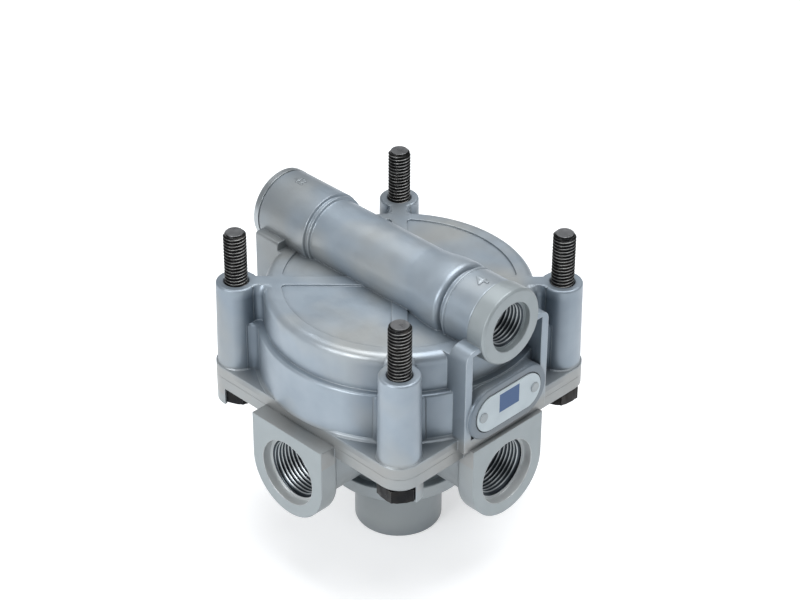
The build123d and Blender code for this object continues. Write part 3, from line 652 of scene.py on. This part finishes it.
def threadSurface(major, minor, pitch, start, end, segments, limit):
    # rings of a helical surface about Z; limit(z) gives the radius that trims both ends
    rows = []
    turns = int(math.ceil((end - start) / pitch)) + 2
    for turn in range(-2, turns):
        for share, depth in threadProfile:
            row = []
            for index in range(segments):
                around = index / segments
                z = min(max(start + pitch * (turn + share + around), start), end)
                radius = limit(minor + depth * (major - minor), z)
                angle = 2 * math.pi * around
                row.append((radius * math.cos(angle), radius * math.sin(angle), z))
            rows.append(row)
    perTurn = len(threadProfile)
    vertices = [point for row in rows for point in row]
    faces = []
    for upper in range(len(rows) - perTurn - 1):
        for index in range(segments):
            if index < segments - 1:
                right, rightRow = index + 1, upper
            else:
                right, rightRow = 0, upper + perTurn
            faces.append((upper * segments + index, rightRow * segments + right,
                          (rightRow + 1) * segments + right, (upper + 1) * segments + index))
    return vertices, faces


def repeatAround(name, piece, count, evenReach, oddReach, startAngle, material, body):
    # Geometry Nodes set copies of a piece round the valve axis and turn each with its place
    tree = bpy.data.node_groups.new(name + "_around", "GeometryNodeTree")
    face = tree.interface
    face.new_socket("Geometry", in_out="INPUT", socket_type="NodeSocketGeometry")
    sizes = {"Count": ("NodeSocketInt", count), "Even reach": ("NodeSocketFloat", evenReach),
             "Odd reach": ("NodeSocketFloat", oddReach), "Start angle": ("NodeSocketFloat", startAngle)}
    sockets = {}
    for label, (kind, value) in sizes.items():
        sockets[label] = face.new_socket(label, in_out="INPUT", socket_type=kind)
    face.new_socket("Geometry", in_out="OUTPUT", socket_type="NodeSocketGeometry")
    inputs = addNode(tree, "NodeGroupInput").outputs
    order = addNode(tree, "GeometryNodeInputIndex").outputs[0]
    step = calc(tree, "DIVIDE", 2 * math.pi, inputs["Count"])
    angle = calc(tree, "ADD", inputs["Start angle"], calc(tree, "MULTIPLY", order, step))
    odd = calc(tree, "MODULO", order, 2.0)
    wider = calc(tree, "SUBTRACT", inputs["Odd reach"], inputs["Even reach"])
    reach = calc(tree, "ADD", inputs["Even reach"], calc(tree, "MULTIPLY", odd, wider))
    place = addNode(tree, "ShaderNodeCombineXYZ", {}, {
        "X": calc(tree, "MULTIPLY", reach, calc(tree, "COSINE", angle)),
        "Y": calc(tree, "MULTIPLY", reach, calc(tree, "SINE", angle))})
    turn = addNode(tree, "ShaderNodeCombineXYZ", {}, {
        "Z": calc(tree, "SUBTRACT", angle, inputs["Start angle"])})
    points = addNode(tree, "GeometryNodePoints", {}, {
        "Count": inputs["Count"], "Position": place.outputs[0]})
    copies = addNode(tree, "GeometryNodeInstanceOnPoints", {}, {
        "Points": points.outputs[0], "Instance": inputs["Geometry"], "Rotation": turn.outputs[0]})
    real = addNode(tree, "GeometryNodeRealizeInstances", {}, {"Geometry": copies.outputs[0]})
    dressed = addNode(tree, "GeometryNodeSetMaterial", {}, {
        "Geometry": real.outputs[0], "Material": material})
    addNode(tree, "NodeGroupOutput", {}, {"Geometry": dressed.outputs[0]})
    modifier = piece.modifiers.new(name, "NODES")
    modifier.node_group = tree
    for label, (kind, value) in sizes.items():
        modifier[sockets[label].identifier] = value
    bpy.context.view_layer.update()
    solid = piece.evaluated_get(bpy.context.evaluated_depsgraph_get())
    mesh = bpy.data.meshes.new_from_object(solid)
    mesh.name = name
    bpy.data.objects.remove(piece)
    made = bpy.data.objects.new(name, mesh)
    bpy.context.collection.objects.link(made)
    if not mesh.materials:
        mesh.materials.append(material)
    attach(made, body)
    print(name, "made,", len(mesh.polygons), "faces")
    return made


# Mounting bolts: long M8 hexagon bolts, the thread cut with a run-out and a chamfered tip
bolt = {
    "threadMajor": 3.97, "threadPitch": 1.25, "threadDepth": 0.72, "threadLow": 91.0, "shankRadius": 3.6,
    "tipChamfer": 1.0, "headFlats": 13.0, "headCorner": 0.55, "segments": 48, "washerHeight": 0.35,
    "headTurn": -36.0, "flangeThickness": 5.0, "footSlope": 0.6, "dishShare": 0.72, "dishDepth": 0.03,
    "washerShare": 0.96, "coneHeight": 0.3,
}


def boltMesh(setup):
    headBottom = low("mounting_bolts", "z") / mm
    tip = high("mounting_bolts", "z") / mm
    seat = high("lower_housing", "z") / mm - setup["flangeThickness"]
    major, minor = setup["threadMajor"], setup["threadMajor"] - setup["threadDepth"]
    tipRadius = major - setup["tipChamfer"]
    bottomRadius = minor - 0.05

    def limit(radius, z):
        cone = tipRadius + (tip - z)
        foot = bottomRadius + (z - setup["threadLow"]) * setup["footSlope"]
        return min(radius, max(cone, tipRadius), max(foot, bottomRadius))

    vertices, faces = threadSurface(major, minor, setup["threadPitch"], setup["threadLow"], tip,
                                    setup["segments"], limit)
    ring = setup["segments"]
    circle = unitCircle(ring)

    def addRing(radius, z):
        first = len(vertices)
        vertices.extend((radius * c, radius * s, z) for c, s in circle)
        return first

    def joinRings(one, other):
        for i in range(ring):
            j = (i + 1) % ring
            faces.append((one + i, one + j, other + j, other + i))

    # tip, slightly dished
    rim = addRing(tipRadius, tip)
    dish = addRing(tipRadius * setup["dishShare"], tip - setup["dishDepth"])
    joinRings(rim, dish)
    vertices.append((0.0, 0.0, tip - setup["dishDepth"]))
    faces.extend((dish + i, dish + (i + 1) % ring, len(vertices) - 1) for i in range(ring))
    # plain shank below the thread, down to the head
    top = addRing(bottomRadius, setup["threadLow"])
    shoulder = addRing(setup["shankRadius"], setup["threadLow"] - 1.0)
    neck = addRing(setup["shankRadius"], seat)
    for one, other in ((top, shoulder), (shoulder, neck)):
        joinRings(one, other)
    # head: a washer face, six flats and a coned lower edge
    flats = setup["headFlats"] / 2
    washer = addRing(flats * setup["washerShare"], seat)
    washerLow = addRing(flats * setup["washerShare"], seat - setup["washerHeight"])
    joinRings(neck, washer)
    joinRings(washer, washerLow)

    def addHexagon(z, coneRadius):
        first = len(vertices)
        for i in range(ring):
            angle = 2 * math.pi * i / ring
            away = (angle + math.pi / 6) % (math.pi / 3) - math.pi / 6
            radius = min(flats / math.cos(away), coneRadius)
            vertices.append((radius * math.cos(angle), radius * math.sin(angle), z))
        return first

    corner = flats / math.cos(math.pi / 6)
    headTop = seat - setup["washerHeight"]
    levels = [(headTop, flats * 1.02), (headTop - setup["coneHeight"], corner),
              (headBottom + setup["headCorner"], corner), (headBottom + 0.25, flats * 1.04),
              (headBottom, flats * 0.95)]
    rings = [addHexagon(z, radius) for z, radius in levels]
    joinRings(washerLow, rings[0])
    for one, other in zip(rings, rings[1:]):
        joinRings(one, other)
    faces.append(tuple(range(rings[-1], rings[-1] + ring)))
    return [tuple(c * mm for c in v) for v in vertices], faces


def makeBolts(material):
    # 48 places round each ring keep a vertex on every corner of the hexagon
    vertices, faces = boltMesh(bolt)
    one = meshObject("bolt", vertices, faces)
    one.data.transform(Matrix.Rotation(math.radians(bolt["headTurn"]), 4, "Z"))
    smoothByAngle(one, 32)
    reach = studReach() * mm
    four = repeatAround("threaded_bolts", one, 4, reach, reach, -math.pi / 4, material, "housing")
    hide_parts("mounting_bolts")


# Cut threads in the ports: closed sleeves whose crests stand inside the solids' bores
portThread = {"pitch": 1.5, "depth": 0.92, "skin": 0.04, "endSlope": 1.2, "sidePorts": 64, "controlPorts": 56}


def threadSleeve(name, radius, length, setup, segments):
    # a sleeve along +X whose outer end is at x = 0
    major, minor = radius - setup["skin"], radius - setup["depth"]

    def limit(value, z):
        # cones at both ends run the crests out into the bore
        edge = major + setup["endSlope"] * max(-(z + length), z)
        return min(major, max(value, edge))

    vertices, faces = threadSurface(minor, major, setup["pitch"], -length, 0.0, segments, limit)
    ring = unitCircle(segments)
    outer = radius - setup["skin"] / 4
    loops = []
    for r, z in ((major, 0.0), (outer, 0.0), (outer, -length), (major, -length)):
        loops.append(len(vertices))
        vertices.extend((r * c, r * s, z) for c, s in ring)
    for one, other in zip(loops, loops[1:]):
        for i in range(segments):
            j = (i + 1) % segments
            faces.append((one + i, one + j, other + j, other + i))
    turned = [(z * mm, -y * mm, x * mm) for x, y, z in vertices]
    piece = meshObject(name, turned, faces)
    smoothByAngle(piece, 40)
    return piece


def makeThreads(setup):
    side = mount("supply_port_front")
    length = side["dims"]["length_mm"]
    radius = side["dims"]["r_mm"]
    portZ = side["pos_m"][2]
    metal = cutThread("cut_aluminium_side", threadFinish, [("x", (0, 0, portZ / mm)), ("y", (0, 0, portZ / mm))],
                      radius - setup["depth"], radius - setup["skin"])
    one = threadSleeve("side_thread", radius, length, setup, setup["sidePorts"])
    one.data.transform(Matrix.Translation((0, 0, portZ)))
    supply = side["pos_m"][0] + length * mm / 2
    delivery = mount("delivery_port_right")["pos_m"][1] + length * mm / 2
    four = repeatAround("side_port_threads", one, 4, supply, delivery, 0.0, metal, "housing")
    front, rear = mount("front_control_port"), mount("rear_control_port")
    length, radius = front["dims"]["length_mm"], front["dims"]["r_mm"]
    tubeZ = front["pos_m"][2]
    metal = cutThread("cut_aluminium_control", threadFinish, [("x", (0, 0, tubeZ / mm))],
                      radius - setup["depth"], radius - setup["skin"])
    one = threadSleeve("control_thread", radius, length, setup, setup["controlPorts"])
    one.data.transform(Matrix.Translation((0, 0, tubeZ)))
    frontEnd = front["pos_m"][0] + length * mm / 2
    rearEnd = -rear["pos_m"][0] + length * mm / 2
    pair = repeatAround("control_port_threads", one, 2, frontEnd, rearEnd, 0.0, metal, "housing")


# Fillets cast where the bosses meet the drum and where both stand on the flange
castFillets = {
    "bossFoot": 7.5, "bossTop": 7.0, "seam": 62.0, "crown": 98.4, "step": 84.7, "flangeTop": 66.3,
    "lowerDrum": 48.5, "upperDrum": 46.0, "stepRound": 1.1, "crownRound": 3.0, "webHalf": 2.65,
    "lowerRadius": 3.1, "upperRadius": 2.2, "edge": 0.8, "sunk": 0.5, "proud": 0.3, "arcSteps": 10,
    "drumFoot": 1.2, "bossFootFillet": 0.42, "flangeHalf": 47.0,
}


def filletSection(setup, z, drum, boss, radius, retreat):
    # plan of one fillet between drum and boss at a height, in the boss's diagonal frame
    reach = studReach()

    def centre(size):
        along = (reach ** 2 + (drum + size) ** 2 - (boss + size) ** 2) / (2 * reach)
        return along, math.sqrt(max((drum + size) ** 2 - along ** 2, 0))

    while centre(radius)[1] - radius < setup["webHalf"] + 0.1:
        radius += 0.05
    along, aside = centre(radius)
    first = math.atan2(-aside, reach - along)
    last = math.atan2(-aside, -along) + 2 * math.pi
    first += 2 * math.pi if first < 0 else 0
    points = []
    for step in range(setup["arcSteps"] + 1):
        angle = first + (last - first) * step / setup["arcSteps"]
        points.append((along + (radius + retreat) * math.cos(angle) - reach,
                       aside + (radius + retreat) * math.sin(angle)))
    # the edge on the boss stands a little proud, and two corners sunk in the solids close the plan
    start, end = points[0], points[-1]
    away = math.hypot(*start)
    points[0] = tuple(c * (1 + setup["proud"] / away) for c in start)
    sunkAside = setup["webHalf"] - setup["sunk"]
    inDrum = (end[0] - setup["sunk"], sunkAside)
    inBoss = (start[0] + setup["sunk"], sunkAside)
    return [(x, y, z) for x, y in points + [inDrum, inBoss]]


def filletLevels(setup, foot, top, drum, rounding, radius):
    # heights from the foot to the rounded top edge, each with its drum radius and retreat
    levels = []
    heights = [foot, top - rounding] + [top - rounding * (1 - math.sin(math.pi * k / 8)) for k in (1, 2, 3)]
    for z in heights + [top - 0.02]:
        rise = max(0.0, z - (top - rounding))
        here = drum - (rounding - math.sqrt(max(rounding ** 2 - rise ** 2, 0)))
        boss = setup["bossFoot"] + (setup["bossTop"] - setup["bossFoot"]) * (z - setup["seam"]) / (
            setup["crown"] - setup["seam"])
        near = max(0.0, z - (top - setup["edge"]))
        retreat = setup["edge"] - math.sqrt(max(setup["edge"] ** 2 - near ** 2, 0))
        levels.append(filletSection(setup, z, here, boss, radius, retreat))
    return levels


def footStrip(radius, level, angles, width):
    # a concave strip round a foot: its plan width may change with the angle
    rows = []
    for angle in angles:
        wide = width(angle)
        arc = [(radius + wide - wide * math.sin(t), level + wide - wide * math.cos(t))
               for t in (math.pi / 2 * k / 6 for k in range(7))]
        buried = [(radius - 0.4, arc[-1][1]), (radius - 0.4, level - 0.2)]
        section = [(radius + wide - 0.02, level - 0.2)] + arc + buried
        rows.append([(r * math.cos(angle), r * math.sin(angle), z) for r, z in section])
    return rows


def joinRows(vertices, faces, rows, closed=False):
    # a closed body through rows of equal length
    first, size = len(vertices), len(rows[0])
    for row in rows:
        vertices.extend(row)
    last = len(rows) if closed else len(rows) - 1
    for row in range(last):
        for index in range(size):
            other = (index + 1) % size
            nextRow = (row + 1) % len(rows)
            faces.append((first + row * size + index, first + row * size + other,
                          first + nextRow * size + other, first + nextRow * size + index))
    if not closed:
        faces.append(tuple(first + index for index in range(size)))
        faces.append(tuple(first + (len(rows) - 1) * size + index for index in reversed(range(size))))


def makeCastFillets(setup, material):
    vertices, faces = [], []
    stages = (("flangeTop", "step", "lowerDrum", "stepRound", "lowerRadius", 0.3),
              ("step", "crown", "upperDrum", "crownRound", "upperRadius", 1.5))
    for foot, top, drum, rounding, radius, sink in stages:
        levels = filletLevels(setup, setup[foot] - sink, setup[top], setup[drum], setup[rounding], setup[radius])
        for side in (1, -1):
            rows = []
            for level in levels:
                turned = Matrix.Rotation(math.radians(-45), 3, "Z")
                rows.append([tuple(turned @ Vector((x, side * y, z))) for x, y, z in level])
            joinRows(vertices, faces, rows)
    footRadius = setup["bossFoot"] - 0.04
    around = [2 * math.pi * k / 40 for k in range(40)]
    joinRows(vertices, faces, footStrip(footRadius, setup["flangeTop"], around,
                                        lambda angle: setup["bossFootFillet"]), closed=True)
    piece = meshObject("boss_fillet", [tuple(c * mm for c in v) for v in vertices], faces)
    smoothByAngle(piece, 35)
    reach = studReach() * mm
    four = repeatAround("boss_fillets", piece, 4, reach, reach, -math.pi / 4, material, "housing")

    def footWidth(angle):
        room = setup["flangeHalf"] / max(abs(math.cos(angle)), abs(math.sin(angle))) - setup["lowerDrum"] - 0.1
        return max(0.05, min(setup["drumFoot"], room))

    start = math.acos((setup["flangeHalf"] - 0.15) / setup["lowerDrum"]) + 0.01
    span = math.pi / 2 - 2 * start
    angles = [start + span * k / 48 for k in range(49)]
    vertices, faces = [], []
    joinRows(vertices, faces, footStrip(setup["lowerDrum"], setup["flangeTop"], angles, footWidth))
    piece = meshObject("drum_foot", [tuple(c * mm for c in v) for v in vertices], faces)
    smoothByAngle(piece, 35)
    four = repeatAround("drum_foot_fillets", piece, 4, 0.0, 0.0, math.pi / 4, material, "housing")


# Spring of the inlet valve: a coil with closed ends
coil = {"turns": 5.5, "wireRadius": 0.7, "closedTurns": 0.75, "closedPitch": 1.45, "perTurn": 40, "aroundWire": 12}


def makeSpring(setup, material):
    lowCorner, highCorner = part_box("valve_spring")
    wire = setup["wireRadius"]
    mean = highCorner.x / mm - wire
    first, last = lowCorner.z / mm + wire, highCorner.z / mm - wire
    closed = setup["closedTurns"] * setup["closedPitch"]
    openPitch = (last - first - 2 * closed) / (setup["turns"] - 2 * setup["closedTurns"])
    rows = []
    for step in range(int(setup["turns"] * setup["perTurn"]) + 1):
        turn = step / setup["perTurn"]
        lowPart = min(turn, setup["closedTurns"])
        highPart = max(0.0, turn - (setup["turns"] - setup["closedTurns"]))
        z = first + (lowPart + highPart) * setup["closedPitch"] + (turn - lowPart - highPart) * openPitch
        angle = 2 * math.pi * turn
        out = Vector((math.cos(angle), math.sin(angle), 0))
        row = []
        for index in range(setup["aroundWire"]):
            side = 2 * math.pi * index / setup["aroundWire"]
            point = out * (mean + wire * math.cos(side)) + Vector((0, 0, z + wire * math.sin(side)))
            row.append(tuple(point * mm))
        rows.append(row)
    vertices, faces = [], []
    joinRows(vertices, faces, rows)
    piece = meshObject("coil_spring", vertices, faces)
    smoothByAngle(piece, 50)
    piece.data.materials.append(material)
    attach(piece, "housing")
    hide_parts("valve_spring")
    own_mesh(piece)
    print("coil spring made,", len(piece.data.polygons), "faces")


# Raised port numbers cast on the cross tube
portNumbers = {
    "sunk": 0.35, "boldness": 0.1,
    "rear": {"text": "42", "height": 3.3, "x": -48.1, "angle": -1.5, "radius": 13.5, "proud": 0.2,
             "acrossTube": False},
    "front": {"text": "4", "height": 5.1, "x": 39.2, "angle": -8.0, "radius": 13.1, "proud": 0.3,
              "acrossTube": True},
}


def numberMesh(name, setup, place):
    # flat digits, thickened, then wrapped on the tube: either along it or across it
    curve = bpy.data.curves.new(name, "FONT")
    curve.body = place["text"]
    curve.size = place["height"] / 0.7
    curve.align_x, curve.align_y = "CENTER", "CENTER"
    curve.offset = setup["boldness"]
    curve.extrude = (place["proud"] + setup["sunk"]) / 2
    holder = bpy.data.objects.new(name, curve)
    bpy.context.collection.objects.link(holder)
    flat = bpy.data.meshes.new_from_object(holder.evaluated_get(bpy.context.evaluated_depsgraph_get()))
    tubeZ = mount("front_control_port")["pos_m"][2] / mm
    lift = (place["proud"] - setup["sunk"]) / 2
    vertices = []
    for vertex in flat.vertices:
        right, up, out = vertex.co
        along, around = (-up, right) if place["acrossTube"] else (right, up)
        angle = math.radians(place["angle"]) + around / place["radius"]
        reach = place["radius"] + out + lift
        vertices.append(((place["x"] + along) * mm, reach * math.sin(angle) * mm,
                         (tubeZ + reach * math.cos(angle)) * mm))
    faces = [tuple(face.vertices) for face in flat.polygons]
    bpy.data.objects.remove(holder)
    bpy.data.meshes.remove(flat)
    return vertices, faces


def makePortNumbers(setup, material):
    vertices, faces = [], []
    for side in ("rear", "front"):
        points, rings = numberMesh(side + "_number", setup, setup[side])
        faces += [tuple(index + len(vertices) for index in ring) for ring in rings]
        vertices += points
    piece = meshObject("port_numbers", vertices, faces)
    smoothByAngle(piece, 30)
    piece.data.materials.append(material)
    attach(piece, "housing")
    print("port numbers made,", len(piece.data.polygons), "faces")


makeCamera(cameraSetup)
makeStudio(studio)
makeFloor(studio)
finishes = dressCadNodes()
makeBolts(finishes["black_steel"])
makeThreads(portThread)
makeCastFillets(castFillets, finishes["cast_aluminium"])
makePortNumbers(portNumbers, finishes["cast_aluminium"])
makeSpring(coil, finishes["spring_steel"])
